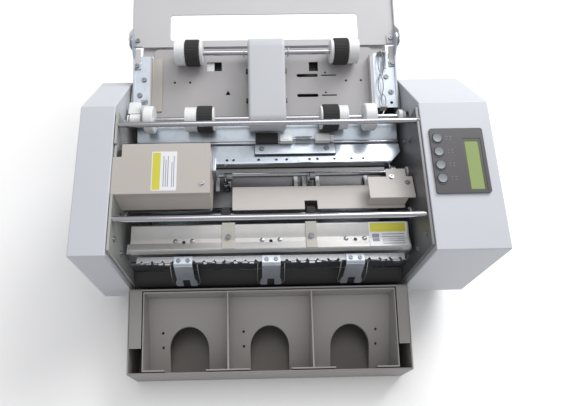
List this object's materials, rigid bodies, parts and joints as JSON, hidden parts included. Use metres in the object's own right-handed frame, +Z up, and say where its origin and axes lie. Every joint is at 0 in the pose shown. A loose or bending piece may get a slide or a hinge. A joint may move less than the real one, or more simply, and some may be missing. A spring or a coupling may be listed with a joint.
{
  "type": "card cutter",
  "caption": "Sheet-fed card cutter: feeder, slitter and cross-cut knife between side housings, with a raised top cover and a card tray divided into bays.",
  "frame": {"origin": "middle of the footprint, on the surface that the feet stand on", "axes": "+Z up, +Y towards the rear where sheets are fed in, +X to the right as the operator faces the card tray"},
  "size_m": [0.4306, 0.5808, 0.2964],
  "materials": {
    "housing_plastic": "fine satin moulded plastic, light cool grey",
    "painted_sheet": "powder coated sheet, light warm grey",
    "arm_plastic": "fine matt moulded plastic, light grey",
    "beige_sheet": "satin sheet, beige grey",
    "zinc_sheet": "bright zinc plated sheet, bluish",
    "steel": "ground steel",
    "chrome": "polished bar",
    "dark_sheet": "black coated sheet",
    "motor_metal": "satin motor can",
    "tray_plastic": "fine textured warm grey",
    "rubber": "ribbed black rubber",
    "nylon": "white nylon",
    "panel_plastic": "charcoal membrane panel",
    "display_lens": "yellow-green display",
    "button_plastic": "light grey moulded button",
    "dark_plastic": "black moulded plastic",
    "circuit_board": "green circuit board"
  },
  "bodies": {
    "frame": {"left_housing": "housing_plastic", "right_housing": "housing_plastic", "feed_deck": "painted_sheet", "right_exit_plate": "painted_sheet", "rear_panel": "painted_sheet", "gear_cover": "beige_sheet", "base_plate": "zinc_sheet", "left_side_plate": "zinc_sheet", "right_side_plate": "zinc_sheet", "left_deck_rail": "zinc_sheet", "right_deck_rail": "zinc_sheet", "deck_front_guide": "zinc_sheet", "cross_member": "zinc_sheet", "knife_bar": "zinc_sheet", "deflector_left": "zinc_sheet", "deflector_centre": "zinc_sheet", "deflector_right": "zinc_sheet", "fixed_blade": "steel", "card_strip": "steel", "lower_guide_plate": "steel", "left_exit_plate": "steel", "front_tie_rod": "chrome", "rear_tie_rod": "chrome", "front_apron": "dark_sheet", "drive_motor": "motor_metal", "knife_motor": "motor_metal", "foot_front_left": "rubber", "foot_front_right": "rubber", "foot_rear_left": "rubber", "foot_rear_right": "rubber", "drive_belt": "rubber", "pad_holder": "nylon", "control_panel": "panel_plastic", "display": "display_lens", "power_inlet": "dark_plastic", "control_board": "circuit_board"},
    "cover": {"top_cover": "painted_sheet"},
    "arm": {"pickup_arm": "arm_plastic"},
    "pickup": {"pickup_shaft": "nylon", "left_pickup_roller": "rubber", "right_pickup_roller": "rubber"},
    "feed": {"feed_shaft": "nylon", "left_feed_roller": "rubber", "right_feed_roller": "rubber"},
    "slitter_top": {"slitter_upper": "chrome"},
    "slitter_bottom": {"slitter_lower": "chrome"},
    "exit": {"exit_shaft": "steel"},
    "motor": {"motor_pulley": "steel"},
    "pad": {"separation_pad": "rubber"},
    "knob": {"pad_knob": "nylon"},
    "knife": {"moving_blade": "steel"},
    "guide_left": {"left_paper_guide": "beige_sheet"},
    "guide_right": {"right_paper_guide": "painted_sheet"},
    "button_1": {"button_1": "button_plastic"},
    "button_2": {"button_2": "button_plastic"},
    "button_3": {"button_3": "button_plastic"},
    "button_4": {"button_4": "button_plastic"},
    "tray": {"tray_box": "tray_plastic"},
    "insert": {"tray_insert": "tray_plastic"},
    "rocker": {"power_switch": "dark_plastic"}
  },
  "joints": [
    {"name": "cover_hinge", "type": "hinge", "parent": "frame", "child": "cover", "pos_m": [-0.0187, 0.06181, 0.2019], "axis": [1, 0, 0], "range_deg": [0, 161.7]},
    {"name": "arm_lift", "type": "hinge", "parent": "frame", "child": "arm", "pos_m": [-0.0187, -0.03419, 0.174], "axis": [1, 0, 0], "range_deg": [0, 2.8]},
    {"name": "feed_spin", "type": "hinge", "parent": "frame", "child": "feed", "pos_m": [-0.0187, -0.03419, 0.174], "axis": [1, 0, 0], "continuous": true},
    {"name": "pickup_spin", "type": "hinge", "parent": "arm", "child": "pickup", "pos_m": [-0.0187, 0.04131, 0.2], "axis": [1, 0, 0], "continuous": true},
    {"name": "slitter_top_spin", "type": "hinge", "parent": "frame", "child": "slitter_top", "pos_m": [-0.0187, -0.09369, 0.15], "axis": [1, 0, 0], "continuous": true},
    {"name": "slitter_bottom_spin", "type": "hinge", "parent": "frame", "child": "slitter_bottom", "pos_m": [-0.0187, -0.09369, 0.1265], "axis": [1, 0, 0], "continuous": true},
    {"name": "exit_spin", "type": "hinge", "parent": "frame", "child": "exit", "pos_m": [-0.0187, -0.13769, 0.137], "axis": [1, 0, 0], "continuous": true},
    {"name": "motor_spin", "type": "hinge", "parent": "frame", "child": "motor", "pos_m": [-0.0187, -0.07969, 0.07], "axis": [1, 0, 0], "continuous": true},
    {"name": "pad_tilt", "type": "hinge", "parent": "frame", "child": "pad", "pos_m": [-0.0187, -0.05449, 0.1559], "axis": [1, 0, 0], "range_deg": [-5, 0], "stiffness_Nm_per_rad": 0.3, "springref_deg": 8.59},
    {"name": "knob_turn", "type": "hinge", "parent": "frame", "child": "knob", "pos_m": [-0.0187, -0.05159, 0.1584], "axis": [1, 0, 0], "range_deg": [-90, 90]},
    {"name": "knife_stroke", "type": "slide", "parent": "frame", "child": "knife", "axis": [0, 0, -1], "range_m": [0, 0.008]},
    {"name": "left_guide_slide", "type": "slide", "parent": "frame", "child": "guide_left", "axis": [1, 0, 0], "range_m": [0, 0.012]},
    {"name": "right_guide_slide", "type": "slide", "parent": "frame", "child": "guide_right", "axis": [1, 0, 0], "range_m": [-0.012, 0]},
    {"name": "button_1_press", "type": "slide", "parent": "frame", "child": "button_1", "axis": [0, 0.1929, -0.9812], "range_m": [0, 0.0012], "stiffness_N_per_m": 400},
    {"name": "button_2_press", "type": "slide", "parent": "frame", "child": "button_2", "axis": [0, 0.1929, -0.9812], "range_m": [0, 0.0012], "stiffness_N_per_m": 400},
    {"name": "button_3_press", "type": "slide", "parent": "frame", "child": "button_3", "axis": [0, 0.1929, -0.9812], "range_m": [0, 0.0012], "stiffness_N_per_m": 400},
    {"name": "button_4_press", "type": "slide", "parent": "frame", "child": "button_4", "axis": [0, 0.1929, -0.9812], "range_m": [0, 0.0012], "stiffness_N_per_m": 400},
    {"name": "tray_pull", "type": "slide", "parent": "frame", "child": "tray", "axis": [0, -1, 0], "range_m": [0, 0.12]},
    {"name": "insert_lift", "type": "slide", "parent": "tray", "child": "insert", "axis": [0, 0, 1], "range_m": [0, 0.08]},
    {"name": "switch_rock", "type": "hinge", "parent": "frame", "child": "rocker", "pos_m": [-0.0187, 0.02831, 0.076], "axis": [1, 0, 0], "range_deg": [-7, 7]}
  ],
  "couplings": [
    {"joint": "pickup_spin", "follows": "feed_spin", "ratio": 1},
    {"joint": "slitter_top_spin", "follows": "feed_spin", "ratio": 1},
    {"joint": "slitter_bottom_spin", "follows": "feed_spin", "ratio": -1},
    {"joint": "exit_spin", "follows": "feed_spin", "ratio": 1},
    {"joint": "motor_spin", "follows": "feed_spin", "ratio": 2.0769},
    {"joint": "right_guide_slide", "follows": "left_guide_slide", "ratio": -1}
  ]
}
